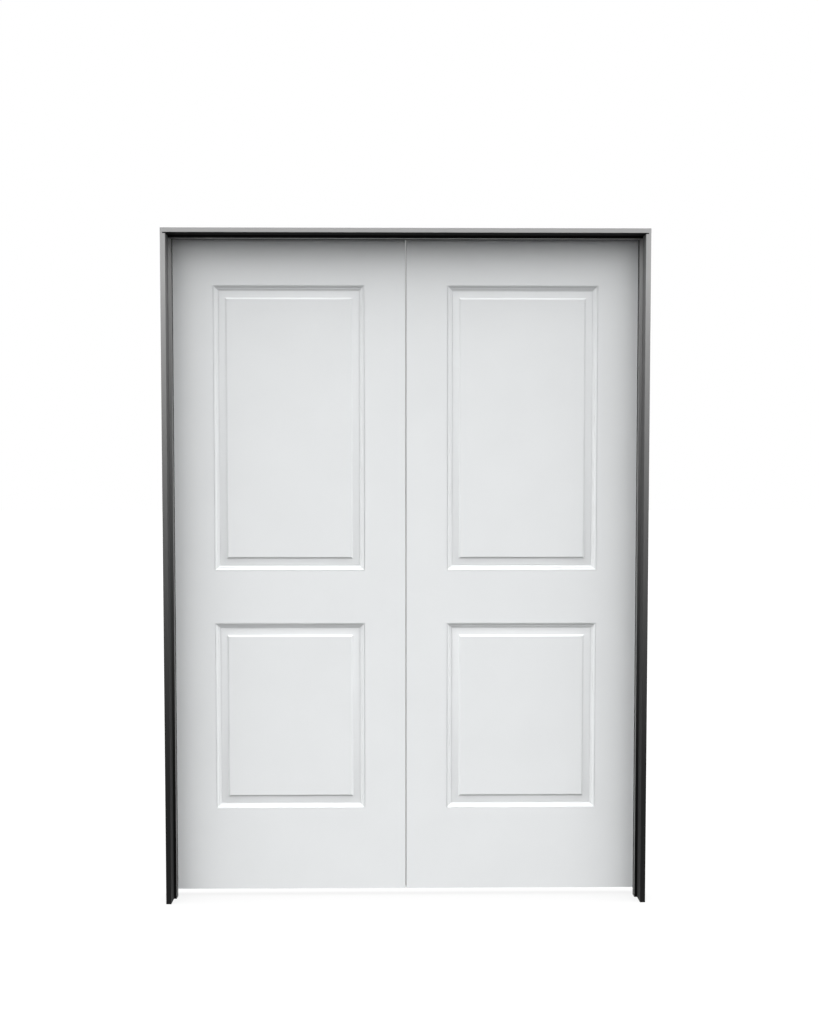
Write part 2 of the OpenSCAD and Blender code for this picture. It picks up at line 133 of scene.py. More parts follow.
class PaintSettings(bpy.types.PropertyGroup):
    """Paints and boards. The frame's colours carry painted light and shade"""
    leaf_white: colour_property("Leaf paint", "#E7E9EA", "Satin white on the leaves")
    leaf_shade: colour_property(
        "Leaf paint, thinner", "#E2E4E5", "The same paint where the coat is thinner")
    # Each floor and head pair of frame colours is the two ends of a painted reflection fade: painted
    # shade at the floor, painted light at the head
    frame_foot: colour_property(
        "Frame paint at the floor", "#1A1A1A", "Frame paint on the edges, at the floor")
    frame_head: colour_property(
        "Frame paint at the head", "#A9A9A9", "Frame paint on the edges, at the head")
    # Reveal colours are painted bounce light and shade on faces turned sideways, along the same fade
    reveal_foot: colour_property(
        "Reveal paint at the floor", "#2C2C2C", "Paint on the jambs' inner faces, at the floor")
    reveal_head: colour_property(
        "Reveal paint at the head", "#6A6A6A", "Paint on the jambs' inner faces, at the head")
    # The stop colour at the floor is also the colour of the dark joint line under the head and of the
    # painted shadow beside a closed leaf
    stop_foot: colour_property(
        "Stop paint at the floor", "#0A0A0A", "Paint on the side stops at the floor, and in dark lines")
    stop_head: colour_property(
        "Stop paint at the head", "#A8A8A8", "Paint on the side stops, at the head")
    # Painted bounce light from the white leaves on the stops' inner faces
    stop_side_painted_bounce: colour_property(
        "Stop paint, inner faces", "#7C7C7C", "Paint on the stops' faces towards the doorway")
    # Painted light on the head stop's underside
    stop_underside_painted_light: colour_property(
        "Head stop paint, underside", "#D2D2D2", "Paint on the head stop's underside")
    # Painted shade: the head stop's front in the shadow under the head, seen as a dark line above the
    # leaves
    shadow_line: colour_property(
        "Head stop paint", "#121212", "Paint on the head stop, a dark line above the leaves")
    primer: colour_property("Edge primer", "#DDDEDE", "Primer on the edges of the leaves")
    primed_grain: colour_property(
        "Edge primer in the grain", "#CDCECE", "Primer sunk into the softwood's grain")
    chip_pale: colour_property("Board chips, pale", "#C7AC7E", "Pale chips of the core board")
    chip_dark: colour_property("Board chips, dark", "#9A7B4C", "Dark chips of the core board")


class HardwareSettings(bpy.types.PropertyGroup):
    """Hinges and screws"""
    hinge_steel: colour_property("Hinge steel", "#B9B8B5", "Satin plated hinge steel")
    screw_steel: colour_property("Screw steel", "#C2C5C8", "Zinc plated screw steel")
    hinge_arris: length_property(
        "Hinge arris", 0.25, "Easing of the edges of hinge plates and pins")
    recess_length: length_property(
        "Recess length", 4.6, "Length of each arm pair of a screw's cross recess")
    recess_width: length_property("Recess width", 1.1, "Width of an arm of a screw's cross recess")
    recess_depth: length_property("Recess depth", 1.3, "Depth of a screw's cross recess")


class StageSettings(bpy.types.PropertyGroup):
    """Camera, floor and light"""
    camera_place: bpy.props.FloatVectorProperty(
        name="Camera place", description="Where the camera stands",
        default=(-0.0426, -4.161, 1.362), unit="LENGTH", subtype="TRANSLATION")
    camera_tilt: bpy.props.FloatProperty(
        name="Camera tilt", description="How far the camera looks down",
        default=math.radians(3.095), subtype="ANGLE")
    camera_turn: bpy.props.FloatProperty(
        name="Camera turn", description="How far the camera looks to the right",
        default=math.radians(0.737), subtype="ANGLE")
    camera_lens: bpy.props.FloatProperty(
        name="Camera lens", description="Focal length on a 36 mm sensor",
        default=47.96, subtype="DISTANCE_CAMERA")
    camera_rise: bpy.props.FloatProperty(
        name="Camera rise", description="Vertical shift of the lens, as a share of the long side",
        default=0.0179)
    sky_light: bpy.props.FloatProperty(
        name="Sky light", description="Strength of the overcast light at the horizon",
        default=1.69)
    floor_colour: colour_property("Floor", "#FFFFFF", "Pale floor")


SETTINGS = {
    "door_moulding": MouldingSettings,
    "door_paint": PaintSettings,
    "door_hardware": HardwareSettings,
    "door_stage": StageSettings,
}


# Nodes

def add_node(tree, kind, inputs=None, **settings):
    """Adds a node. Each input is given a value, a socket to read, or a list of sockets to join."""
    node = tree.nodes.new(kind)
    for name, value in settings.items():
        setattr(node, name, value)
    for name, value in (inputs or {}).items():
        sources = value if isinstance(value, list) else [value]
        for source in sources:
            if isinstance(source, bpy.types.NodeSocket):
                tree.links.new(source, node.inputs[name])
            else:
                node.inputs[name].default_value = source
    return node


def calc(tree, operation, *values, **settings):
    """The result of a sum on numbers."""
    inputs = dict(enumerate(values))
    return add_node(tree, "ShaderNodeMath", inputs, operation=operation, **settings).outputs[0]


def vector_calc(tree, operation, *values):
    """The result of a sum on vectors."""
    inputs = dict(enumerate(values))
    return add_node(tree, "ShaderNodeVectorMath", inputs, operation=operation).outputs[0]


def parts_of(tree, vector):
    """A vector's X, Y and Z, by name."""
    return add_node(tree, "ShaderNodeSeparateXYZ", {0: vector}).outputs


def combined(tree, **parts):
    """A vector from its X, Y and Z. A part that isn't given is 0."""
    return add_node(tree, "ShaderNodeCombineXYZ", parts).outputs[0]


def add_range(tree, value, low, high):
    """A value from 0 to 1 spread over a range, held at its ends."""
    return add_node(tree, "ShaderNodeMapRange", {
        "Value": value, "To Min": low, "To Max": high}).outputs[0]


def add_ramp(tree, value, start, end, **settings):
    """A share that is 0 up to the start and rises to 1 at the end."""
    return add_node(tree, "ShaderNodeMapRange", {
        "Value": value, "From Min": start, "From Max": end}, **settings).outputs[0]


def placed(tree, geometry, **change):
    """Geometry moved, turned or scaled."""
    return add_node(tree, "GeometryNodeTransform", {"Geometry": geometry, **change}).outputs[0]


def join_all(tree, pieces):
    return add_node(tree, "GeometryNodeJoinGeometry", {0: pieces}).outputs[0]


def welded(tree, geometry):
    return add_node(tree, "GeometryNodeMergeByDistance", {
        "Geometry": geometry, "Distance": WELD}).outputs[0]


def new_tree(name, inputs):
    """A geometry tree with the named inputs, and the sockets that give their values."""
    tree = bpy.data.node_groups.new(name, "GeometryNodeTree")
    for label, kind in inputs.items():
        tree.interface.new_socket(label, in_out="INPUT", socket_type=f"NodeSocket{kind}")
    tree.interface.new_socket("Geometry", in_out="OUTPUT", socket_type="NodeSocketGeometry")
    return tree, add_node(tree, "NodeGroupInput").outputs


def end_tree(tree, geometry, material):
    """Every tree ends in plain geometry with its material."""
    plain = add_node(tree, "GeometryNodeRealizeInstances", {"Geometry": geometry})
    painted = add_node(tree, "GeometryNodeSetMaterial", {
        "Geometry": plain.outputs[0], "Material": material})
    add_node(tree, "NodeGroupOutput", {"Geometry": painted.outputs[0]})


def run_tree(tree, name, mesh, values, arris=0):
    """Runs a tree on a mesh and keeps the result as a plain mesh, with the edges it marks eased."""
    obj = bpy.data.objects.new(name, mesh)
    bpy.context.scene.collection.objects.link(obj)
    shape = obj.modifiers.new("Shape", "NODES")
    shape.node_group = tree
    for item in tree.interface.items_tree:
        if item.in_out == "INPUT" and item.name in values:
            shape[item.identifier] = values[item.name]
    if arris:
        ease_edges(obj, arris, "WEIGHT")
    keep_result(obj)
    return obj


def ease_edges(obj, width, limit):
    bevel = obj.modifiers.new("Arris", "BEVEL")
    bevel.width = width
    bevel.segments = EASED_FLATS
    bevel.limit_method = limit
    bevel.angle_limit = EASED_ANGLE
    bevel.harden_normals = True


def keep_result(obj):
    """Turns the evaluated object into a plain mesh with no modifiers."""
    evaluated = obj.evaluated_get(bpy.context.evaluated_depsgraph_get())
    mesh = bpy.data.meshes.new_from_object(evaluated)
    obj.modifiers.clear()
    obj.data = mesh
    mesh.name = obj.name


# Materials

def new_material(name):
    material = bpy.data.materials.get(name) or bpy.data.materials.new(name)
    material.use_nodes = True
    tree = material.node_tree
    tree.nodes.clear()
    shader = add_node(tree, "ShaderNodeBsdfPrincipled")
    add_node(tree, "ShaderNodeOutputMaterial", {"Surface": shader.outputs[0]})
    place = add_node(tree, "ShaderNodeTexCoord").outputs["Object"]
    return material, tree, shader, place


def stretched(tree, place, axis, share):
    """Object coordinates drawn out along one axis, for grain and brush marks."""
    scale = tuple(share if name == axis else 1 for name in AXES)
    return add_node(tree, "ShaderNodeMapping", {"Vector": place, "Scale": scale}).outputs[0]


def noise(tree, place, size_mm, detail):
    return add_node(tree, "ShaderNodeTexNoise", {
        "Vector": place, "Scale": 1 / (size_mm * MM), "Detail": detail}).outputs["Fac"]


def add_bump(tree, shader, height, depth_mm, strength):
    bump = add_node(tree, "ShaderNodeBump", {
        "Height": height, "Distance": depth_mm * MM, "Strength": strength})
    tree.links.new(bump.outputs[0], shader.inputs["Normal"])


def add_mix(tree, share, first, second):
    """The first colour where the share is 0, the second where it is 1."""
    return add_node(tree, "ShaderNodeMix", {
        "Factor": share, "A": first, "B": second}, data_type="RGBA").outputs["Result"]


def link_looks(tree, shader, colour, roughness):
    tree.links.new(colour, shader.inputs["Base Color"])
    tree.links.new(roughness, shader.inputs["Roughness"])


def leaf_paint():
    """Satin paint sprayed on moulded board: an even white with a faint orange peel."""
    paint = bpy.context.scene.door_paint
    material, tree, shader, place = new_material("satin paint on moulded board")
    coat = noise(tree, place, size_mm=180, detail=2)
    peel = noise(tree, place, size_mm=3, detail=2)
    colour = add_mix(tree, coat, paint.leaf_white, paint.leaf_shade)
    link_looks(tree, shader, colour, add_range(tree, peel, low=0.45, high=0.55))
    shader.inputs["Specular IOR Level"].default_value = 0.12
    add_bump(tree, shader, peel, depth_mm=0.04, strength=0.25)
    return material


# The height where the frame's painted reflection fade ends, and how late it rises
FRAME_FADE_HEIGHT = 1.9
FRAME_FADE_POWER = 2.65
# The height of the dark line under the head, and how far from a stop's back its painted shadow starts
# and is full
SHOULDER_LINE = 2.8 * MM
REBATE_SHADOW_START = 20 * MM
REBATE_SHADOW_FULL = 8 * MM


def shoulder_line(tree, place):
    """1 along a thin line under the head's ends, the dark joint on each jamb's shoulder."""
    low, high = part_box("head_jamb")
    at = parts_of(tree, place)
    aside = calc(tree, "ABSOLUTE", at["X"])
    inside = calc(tree, "LESS_THAN", aside, high.x)
    above = calc(tree, "GREATER_THAN", at["Z"], low.z - SHOULDER_LINE)
    return calc(tree, "MULTIPLY", inside, above)


def rebate_painted_shadow(tree, place):
    """0 on a stop's front part and 1 near its back edge: a painted shadow of the gap beside a closed
    leaf.
    """
    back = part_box("left_stop")[1].y
    depth = parts_of(tree, place)["Y"]
    return add_ramp(tree, depth, back - REBATE_SHADOW_START, back - REBATE_SHADOW_FULL)


def frame_paint(piece, grain, edge, reveal, under, shade=None):
    """Brushed flat paint on softwood, with light and shade painted into its colours. The edge and reveal
    colours are each a pair, at the floor and at the head: a painted reflection fade, darker downwards.
    The reveal colours on faces turned sideways are painted bounce light and shade. Faces that look down
    have a colour of their own, painted shade, and on the head stop painted light. The shade gives dark
    lines: the dark joint under the head's ends, and a painted shadow near a stop's back edge."""
    material, tree, shader, place = new_material(f"flat paint on softwood {piece}")
    height = parts_of(tree, place)["Z"]
    # Painted reflection fade: darker towards the floor, lighter towards the head
    fade = calc(tree, "POWER", add_ramp(tree, height, 0, FRAME_FADE_HEIGHT), FRAME_FADE_POWER)
    normal = add_node(tree, "ShaderNodeNewGeometry").outputs["True Normal"]
    turned = parts_of(tree, normal)
    # Painted light by facing: sideways faces take the reveal colours as painted bounce light and shade;
    # faces looking down take the under colour, painted shade on jambs, head and side stops, painted
    # light on the head stop
    upright = calc(tree, "ADD", turned["Z"], 1, use_clamp=True)
    sideways = calc(tree, "ABSOLUTE", turned["X"])
    walls = add_mix(tree, sideways, add_mix(tree, fade, *edge), add_mix(tree, fade, *reveal))
    coat = add_mix(tree, upright, under, walls)
    if shade:
        # Dark lines in the stop colour at the floor: the dark joint under the head on the jambs, a
        # painted shadow beside a closed leaf on the stops
        coat = add_mix(tree, shade(tree, place), coat, bpy.context.scene.door_paint.stop_foot)
    brushed = noise(tree, stretched(tree, place, grain, share=0.03), size_mm=1.5, detail=3)
    link_looks(tree, shader, coat, add_range(tree, brushed, low=0.62, high=0.78))
    shader.inputs["Specular IOR Level"].default_value = 0.08
    add_bump(tree, shader, brushed, depth_mm=0.05, strength=0.3)
    return material


def primed_pine(grain):
    """Softwood edge under one coat of primer: chalky white with the grain's ridges showing."""
    paint = bpy.context.scene.door_paint
    material, tree, shader, place = new_material(f"primed pine, grain along {grain}")
    ridges = noise(tree, stretched(tree, place, grain, share=0.02), size_mm=2.5, detail=4)
    colour = add_mix(tree, ridges, paint.primer, paint.primed_grain)
    link_looks(tree, shader, colour, add_range(tree, ridges, low=0.55, high=0.7))
    add_bump(tree, shader, ridges, depth_mm=0.1, strength=0.4)
    return material


CHIP_SIZE = 4 * MM


def particle_board():
    """Pressed wood chips, each with its own tone."""
    paint = bpy.context.scene.door_paint
    material, tree, shader, place = new_material("particle board")
    chips = add_node(tree, "ShaderNodeTexVoronoi", {"Vector": place, "Scale": 1 / CHIP_SIZE})
    tone = add_node(tree, "ShaderNodeSeparateColor", {0: chips.outputs["Color"]}).outputs[0]
    colour = add_mix(tree, tone, paint.chip_pale, paint.chip_dark)
    link_looks(tree, shader, colour, add_range(tree, tone, low=0.75, high=0.9))
    add_bump(tree, shader, chips.outputs["Distance"], depth_mm=0.2, strength=0.4)
    return material


def satin_steel():
    """Nickel plated steel, brushed along the barrel with lines wide enough to show."""
    hardware = bpy.context.scene.door_hardware
    material, tree, shader, place = new_material("satin nickel plated steel")
    lines = noise(tree, stretched(tree, place, "Z", share=0.05), size_mm=0.6, detail=3)
    shader.inputs["Base Color"].default_value = hardware.hinge_steel
    shader.inputs["Metallic"].default_value = 1
    tree.links.new(add_range(tree, lines, low=0.26, high=0.44), shader.inputs["Roughness"])
    add_bump(tree, shader, lines, depth_mm=0.02, strength=0.25)
    return material


def zinc_steel():
    """Bright zinc plating: cool grey with a faint spangle."""
    hardware = bpy.context.scene.door_hardware
    material, tree, shader, place = new_material("zinc plated steel")
    spangle = noise(tree, place, size_mm=1.2, detail=2)
    shader.inputs["Base Color"].default_value = hardware.screw_steel
    shader.inputs["Metallic"].default_value = 1
    tree.links.new(add_range(tree, spangle, low=0.22, high=0.38), shader.inputs["Roughness"])
    add_bump(tree, shader, spangle, depth_mm=0.02, strength=0.2)
    return material


def paint_node(node, material):
    """Gives a CAD node its finish."""
    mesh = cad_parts[node].data
    mesh.materials.clear()
    mesh.materials.append(material)


# Moulded skins

# Each member of the moulding: its bow, and how many flats it is cut into. A bow above 0 starts
# gently and ends steeply, below 0 the reverse.
MEMBERS = {
    "quirk": (0, 1),
    "quirk_floor": (0, 1),
    "lip": (0, 1),
    "round": (0.35, 10),
    "ledge": (0, 1),
    "hollow": (-0.6, 12),
    "groove": (0, 1),
    "groove_floor": (0, 1),
    "bank": (0, 1),
    "slope": (0.45, 10),
    "step": (-0.1, 8),
}
PANELS = ("Lower", "Upper")
SHARP_ANGLE = math.radians(20)
# Room round a hinge plate in its notch
GAIN_ROOM = 0.1 * MM


def rectangle(tree, corner, size):
    """A rectangle's outline, from its lower left corner and its size."""
    sides = parts_of(tree, size)
    outline = add_node(tree, "GeometryNodeCurvePrimitiveQuadrilateral", {
        "Width": sides["X"], "Height": sides["Y"]})
    centre = vector_calc(tree, "MULTIPLY_ADD", size, (0.5, 0.5, 0.5), corner)
    return placed(tree, outline.outputs[0], Translation=centre)


def filled(tree, outlines):
    together = join_all(tree, outlines)
    return add_node(tree, "GeometryNodeFillCurve", {"Curve": together}, mode="TRIANGLES").outputs[0]


def moulding_section(tree, given):
    """The moulding's section, a bowed curve for each member, and the place where the field starts."""
    start = (0, 0, 0)
    curves = []
    for member, (bow, flats) in MEMBERS.items():
        size = combined(tree, X=given[f"{member} width"], Y=given[f"{member} fall"])
        end = vector_calc(tree, "ADD", size, start)
        middle = vector_calc(tree, "MULTIPLY_ADD", size, (0.5, (1 - bow) / 2, 0), start)
        curves.append(add_node(tree, "GeometryNodeCurveQuadraticBezier", {
            "Resolution": flats, "Start": start, "Middle": middle, "End": end}).outputs[0])
        start = end
    return join_all(tree, curves), start


def moulded_skin_tree(material):
    """A skin lying in XY, face up, within the given outline: flats round two panels, each panel's
    moulding and its raised field, all pressed from a sheet of one thickness."""
    names = {"Outline": "Geometry", "Thickness": "Float"}
    for panel in PANELS:
        names[f"{panel} panel corner"] = "Vector"
        names[f"{panel} panel size"] = "Vector"
    for member in MEMBERS:
        names[f"{member} width"] = "Float"
        names[f"{member} fall"] = "Float"
    tree, given = new_tree("Moulded skin", names)
    section, field = moulding_section(tree, given)
    # At a right-angled corner the section stands on the diagonal and is wider by the root of 2.
    # A curve's section lies outwards, so it is turned over to run into the panel.
    mitre = math.sqrt(2)
    laid = placed(tree, section, Scale=(-1, 1 / mitre, 1))
    across = parts_of(tree, field)
    both_ways = combined(tree, X=across["X"], Y=across["X"])
    sunk = calc(tree, "MULTIPLY", across["Y"], -1)
    field_place = combined(tree, Z=sunk)
    outlines = [add_node(tree, "GeometryNodeMeshToCurve", {"Mesh": given["Outline"]}).outputs[0]]
    raised = []
    for panel in PANELS:
        corner, size = given[f"{panel} panel corner"], given[f"{panel} panel size"]
        outline = rectangle(tree, corner, size)
        outlines.append(outline)
        swept = add_node(tree, "GeometryNodeCurveToMesh", {
            "Curve": outline, "Profile Curve": laid, "Scale": mitre}).outputs[0]
        raised.append(add_node(tree, "GeometryNodeFlipFaces", {"Mesh": swept}).outputs[0])
        field_corner = vector_calc(tree, "ADD", corner, both_ways)
        field_size = vector_calc(tree, "MULTIPLY_ADD", both_ways, (-2, -2, -2), size)
        field_face = filled(tree, [rectangle(tree, field_corner, field_size)])
        raised.append(placed(tree, field_face, Translation=field_place))
    face = welded(tree, join_all(tree, [filled(tree, outlines), *raised]))
    inwards = combined(tree, Z=-1)
    pressed = add_node(tree, "GeometryNodeExtrudeMesh", {
        "Mesh": face, "Offset": inwards, "Offset Scale": given["Thickness"], "Individual": False})
    hidden = add_node(tree, "GeometryNodeFlipFaces", {"Mesh": pressed.outputs[0]}).outputs[0]
    closed = welded(tree, join_all(tree, [face, hidden]))
    soft = add_node(tree, "GeometryNodeSetShadeSmooth", {"Geometry": closed}).outputs[0]
    angle = add_node(tree, "GeometryNodeInputMeshEdgeAngle").outputs
    sharp = add_node(tree, "FunctionNodeCompare", {
        "A": angle[0], "B": SHARP_ANGLE}, operation="GREATER_THAN").outputs[0]
    crisp = add_node(tree, "GeometryNodeSetShadeSmooth", {
        "Geometry": soft, "Selection": sharp, "Shade Smooth": False}, domain="EDGE").outputs[0]
    # An outward edge has an angle below zero. Only those are eased, so the grooves stay sharp.
    outward = add_node(tree, "FunctionNodeCompare", {
        "A": angle[1], "B": -EASED_ANGLE}, operation="LESS_THAN").outputs[0]
    eased = add_node(tree, "GeometryNodeStoreNamedAttribute", {
        "Geometry": crisp, "Selection": outward, "Name": "bevel_weight_edge", "Value": 1},
        data_type="FLOAT", domain="EDGE").outputs[0]
    end_tree(tree, eased, material)
    return tree


def panel_lines(side):
    """X and Z of the moulding's outer lines on a leaf, read from the face of its CAD front skin."""
    node = f"{side}_front_skin"
    face_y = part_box(node)[0].y
    points = [v.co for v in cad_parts[node].data.vertices if abs(v.co.y - face_y) < WELD]
    return [sorted({round(p[i], METRE_DIGITS) for p in points})[1:-1] for i in (0, 2)]


class DOOR_OT_mould_skins(bpy.types.Operator):
    """Press both skins of each leaf, with their panels and hinge gains"""
    bl_idname = "door.mould_skins"
    bl_label = "Mould skins"

    def execute(self, context):
        moulding = context.scene.door_moulding
        tree = moulded_skin_tree(leaf_paint())
        for side in SIDES:
            for face in (FRONT, BACK):
                self.press(tree, moulding, side, face)
        return {"FINISHED"}

    def press(self, tree, moulding, side, face):
        node = f"{side}_{face}_skin"
        low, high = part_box(node)
        # The skin is laid face up in XY with its width along X, then stood up in its place
        foot, turn = (low, 0) if face == FRONT else (high, math.pi)
        face_y = foot.y
        upright = Euler((math.pi / 2, 0, turn)).to_matrix().to_4x4()
        stand = Matrix.Translation((foot.x, face_y, low.z)) @ upright
        lay = stand.inverted()
        xs, zs = panel_lines(side)
        values = {"Thickness": moulding.skin_thickness}
        left, right = xs if face == FRONT else reversed(xs)
        for panel, (bottom, top) in zip(PANELS, (zs[:2], zs[2:])):
            corner = lay @ Vector((left, face_y, bottom))
            far = lay @ Vector((right, face_y, top))
            values[f"{panel} panel corner"] = (corner.x, corner.y, 0)
            values[f"{panel} panel size"] = (far.x - corner.x, far.y - corner.y, 0)
        for member in MEMBERS:
            for size in ("width", "fall"):
                values[f"{member} {size}"] = getattr(moulding, f"{member}_{size}")
        outline = bpy.data.meshes.new(f"{node}_outline")
        corners = [lay @ Vector((x, face_y, z)) for x, z in self.outline(side, face, low, high)]
        outline.from_pydata(corners, [(i, (i + 1) % len(corners)) for i in range(len(corners))], [])
        piece = run_tree(tree, f"{side}_leaf_{face}_skin", outline, values, moulding.arris)
        piece.data.transform(stand)
        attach(piece, f"{side}_leaf")
        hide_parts(node)

    def outline(self, side, face, low, high):
        """X and Z of a skin's corners, with a notch for each hinge plate in a back skin's edge."""
        hinge, meeting = (low.x, high.x) if side == "left" else (high.x, low.x)
        corners = [(meeting, high.z), (meeting, low.z), (hinge, low.z)]
        for level in LEVELS if face == BACK else ():
            plate_low, plate_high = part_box(f"{side}_{level}_leaf_plate")
            inner = plate_high.x if side == "left" else plate_low.x
            bed = inner + math.copysign(GAIN_ROOM, meeting - hinge)
            bottom, top = plate_low.z - GAIN_ROOM, plate_high.z + GAIN_ROOM
            corners += [(hinge, bottom), (bed, bottom), (bed, top), (hinge, top)]
        return [*corners, (hinge, high.z)]


class DOOR_OT_paint_frame(bpy.types.Operator):
    """Paint the jambs, the head, the stops and the nails set in them, with light and shade painted into
    their colours
    """
    bl_idname = "door.paint_frame"
    bl_label = "Paint frame"

    def execute(self, context):
        paint = context.scene.door_paint
        edge = (paint.frame_foot, paint.frame_head)
        reveal = (paint.reveal_foot, paint.reveal_head)
        stop_edge = (paint.stop_foot, paint.stop_head)
        # The stops' inner faces carry painted bounce light from the leaves
        stop_reveal = (paint.stop_side_painted_bounce, paint.stop_side_painted_bounce)
        # The head stop's front fades up to the near black painted shade under the head
        head_stop_edge = (paint.stop_foot, paint.shadow_line)
        jambs = frame_paint("jambs", "Z", edge, reveal, paint.frame_foot, shoulder_line)
        head = frame_paint("head", "X", edge, reveal, paint.frame_foot)
        # Stops take a painted shadow near their back edges, beside a closed leaf
        stops = frame_paint("stops", "Z", stop_edge, stop_reveal, paint.stop_foot, rebate_painted_shadow)
        head_stop = frame_paint(
            "head stop", "X", head_stop_edge, stop_reveal, paint.stop_underside_painted_light, rebate_painted_shadow)
        for side in SIDES:
            paint_node(f"{side}_jamb", jambs)
            paint_node(f"{side}_stop", stops)
        paint_node("head_jamb", head)
        paint_node("head_stop", head_stop)
        paint_node("stop_nails", stops)
        return {"FINISHED"}


class DOOR_OT_finish_leaf_frames(bpy.types.Operator):
    """Prime the stiles and rails inside each leaf, and finish the core boards"""
    bl_idname = "door.finish_leaf_frames"
    bl_label = "Finish leaf frames"

    def execute(self, context):
        upright, level, board = primed_pine("Z"), primed_pine("X"), particle_board()
        for side in SIDES:
            for stile in ("hinge_stile", "meeting_stile"):
                paint_node(f"{side}_{stile}", upright)
            for rail in ("top_rail", "bottom_rail"):
                paint_node(f"{side}_{rail}", level)
            paint_node(f"{side}_core", board)
        return {"FINISHED"}


# Hinges

SAME_PLANE = math.radians(0.5)
ROUND_ANGLE = math.radians(30)


def eased_copy(node, name, width, material):
    """A copy of a CAD node with welded faces and eased edges."""
    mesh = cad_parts[node].data.copy()
    work = bmesh.new()
    work.from_mesh(mesh)
    bmesh.ops.remove_doubles(work, verts=work.verts, dist=WELD)
    bmesh.ops.dissolve_limit(work, angle_limit=SAME_PLANE, verts=work.verts, edges=work.edges)
    for polygon in work.faces:
        polygon.smooth = True
    for edge in work.edges:
        edge.smooth = edge.is_manifold and edge.calc_face_angle() < ROUND_ANGLE
    work.to_mesh(mesh)
    work.free()
    mesh.materials.clear()
    mesh.materials.append(material)
    obj = bpy.data.objects.new(name, mesh)
    bpy.context.scene.collection.objects.link(obj)
    ease_edges(obj, width, "ANGLE")
    keep_result(obj)
    return obj


class DOOR_OT_fit_hinges(bpy.types.Operator):
    """Make the hinge plates and pins in satin steel, with eased edges"""
    bl_idname = "door.fit_hinges"
    bl_label = "Fit hinges"

    def execute(self, context):
        steel = satin_steel()
        width = context.scene.door_hardware.hinge_arris
        for side in SIDES:
            bodies = {"jamb_plate": "frame", "pin": "frame", "leaf_plate": f"{side}_leaf"}
            for level in LEVELS:
                for part, body in bodies.items():
                    node = f"{side}_{level}_{part}"
                    piece = eased_copy(node, f"{side}_{level}_hinge_{part}", width, steel)
                    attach(piece, body)
                    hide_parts(node)
        return {"FINISHED"}


# Screws

# A blade of the cross recess is a cone of four sides, made to a side of 1 and then scaled
BLADE_SIDES = 4
BLADE_RADIUS = math.sqrt(0.5)
BLADE_TIP_RADIUS = 0.35
BLADE_DEPTH = 2
SCREW_SIDES = 32
# A shank's radius by its head's radius, and a tip's length by its shank's radius
SHANK_SHARE = 0.55
TIP_SHARE = 2


def lowered(tree, geometry, length, times=1):
    """Geometry moved down by a length, so many times."""
    drop = calc(tree, "MULTIPLY", length, -times)
    return placed(tree, geometry, Translation=combined(tree, Z=drop))


def screw_tree(material):
    """Countersunk screws with a cross recess on the given points, each at its own fixed angle."""
    lengths = (
        "Head radius", "Shank radius", "Shank length", "Tip length",
        "Recess length", "Recess width", "Recess depth")
    tree, given = new_tree("Countersunk screws", {
        "Heads": "Geometry", **{name: "Float" for name in lengths}, "Seed": "Int"})
    head_depth = calc(tree, "SUBTRACT", given["Head radius"], given["Shank radius"])
    head = add_node(tree, "GeometryNodeMeshCone", {
        "Vertices": SCREW_SIDES, "Radius Top": given["Head radius"],
        "Radius Bottom": given["Shank radius"], "Depth": head_depth}).outputs[0]
    head_set = lowered(tree, head, head_depth)
    # A cross recess is two blades that narrow towards their tips
    blade = add_node(tree, "GeometryNodeMeshCone", {
        "Vertices": BLADE_SIDES, "Radius Top": BLADE_RADIUS, "Radius Bottom": BLADE_TIP_RADIUS,
        "Depth": BLADE_DEPTH}).outputs[0]
    squared = placed(tree, blade, Rotation=(0, 0, math.pi / 4))
    blade_size = combined(
        tree, X=given["Recess length"], Y=given["Recess width"], Z=given["Recess depth"])
    blade_cut = placed(tree, squared, Scale=blade_size)
    blade_set = lowered(tree, blade_cut, given["Recess depth"])
    crossed = placed(tree, blade_set, Rotation=(0, 0, math.pi / 2))
    cut_head = add_node(tree, "GeometryNodeMeshBoolean", {
        "Mesh 1": head_set, "Mesh 2": [blade_set, crossed]},
        operation="DIFFERENCE", solver="EXACT").outputs[0]
    shank = add_node(tree, "GeometryNodeMeshCylinder", {
        "Vertices": SCREW_SIDES, "Radius": given["Shank radius"],
        "Depth": given["Shank length"]}).outputs[0]
    shank_set = lowered(tree, shank, given["Shank length"], times=0.5)
    shank_set = lowered(tree, shank_set, head_depth)
    tip = add_node(tree, "GeometryNodeMeshCone", {
        "Vertices": SCREW_SIDES, "Radius Top": given["Shank radius"], "Radius Bottom": 0,
        "Depth": given["Tip length"]}).outputs[0]
    tip_set = lowered(tree, tip, given["Tip length"])
    tip_set = lowered(tree, tip_set, given["Shank length"])
    tip_set = lowered(tree, tip_set, head_depth)
    screw = join_all(tree, [cut_head, shank_set, tip_set])
    spin = add_node(tree, "FunctionNodeRandomValue", {
        3: 2 * math.pi, "Seed": given["Seed"]}, data_type="FLOAT").outputs[1]
    turned = add_node(tree, "FunctionNodeAxisAngleToRotation", {
        "Axis": (0, 0, 1), "Angle": spin}).outputs[0]
    facing = add_node(tree, "GeometryNodeInputNamedAttribute", {
        "Name": "facing"}, data_type="FLOAT_VECTOR").outputs[0]
    aimed = add_node(tree, "FunctionNodeAlignRotationToVector", {
        "Rotation": turned, "Vector": facing}, axis="Z").outputs[0]
    driven = add_node(tree, "GeometryNodeInstanceOnPoints", {
        "Points": given["Heads"], "Instance": screw, "Rotation": aimed}).outputs[0]
    end_tree(tree, driven, material)
    return tree


